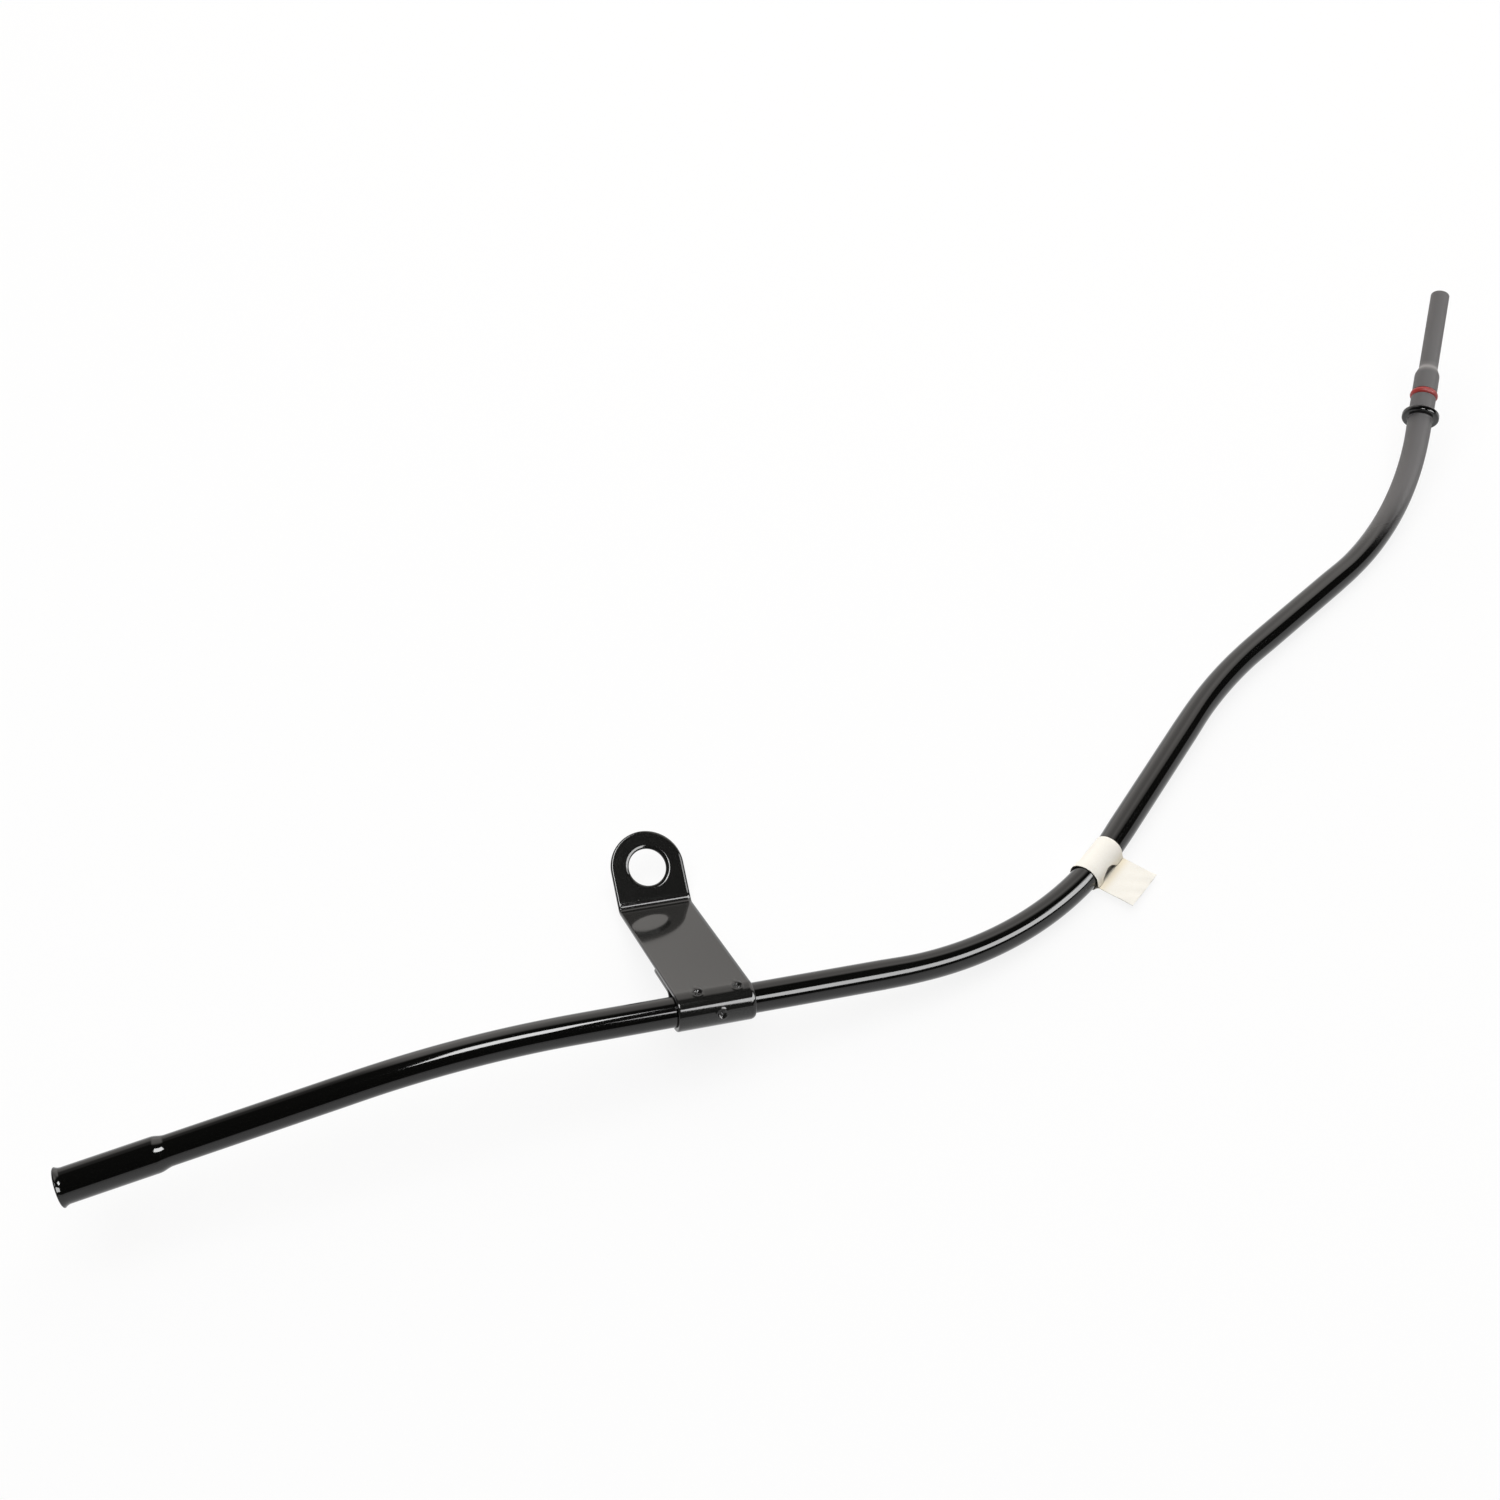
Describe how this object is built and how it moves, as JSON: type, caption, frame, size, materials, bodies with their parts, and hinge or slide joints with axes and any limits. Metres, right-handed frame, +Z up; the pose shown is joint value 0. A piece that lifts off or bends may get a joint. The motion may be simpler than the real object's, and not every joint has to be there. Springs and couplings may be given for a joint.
{
  "type": "oil dipstick tube",
  "caption": "Bent steel guide tube for an engine oil dipstick, with a flared mouth, a clasped mounting bracket with a bolt eye, and a beaded lower end sealed by an O-ring.",
  "frame": {"origin": "bottom centre of the part's box, as it lies at rest on a floor", "axes": "+Z up from the floor; +X from the flared mouth's side to the block end's side; +Y away from the camera, towards the block end's tip"},
  "size_m": [0.481, 0.4014, 0.043],
  "materials": {
    "tube_paint": "gloss black enamel on steel",
    "bracket_paint": "gloss black enamel on steel sheet",
    "seal_rubber": "satin red rubber",
    "tag_paper": "matt white paper, blank"
  },
  "bodies": {
    "root": {"tube": "tube_paint", "bracket": "bracket_paint", "o_ring": "seal_rubber", "paper_tag": "tag_paper"}
  },
  "joints": []
}
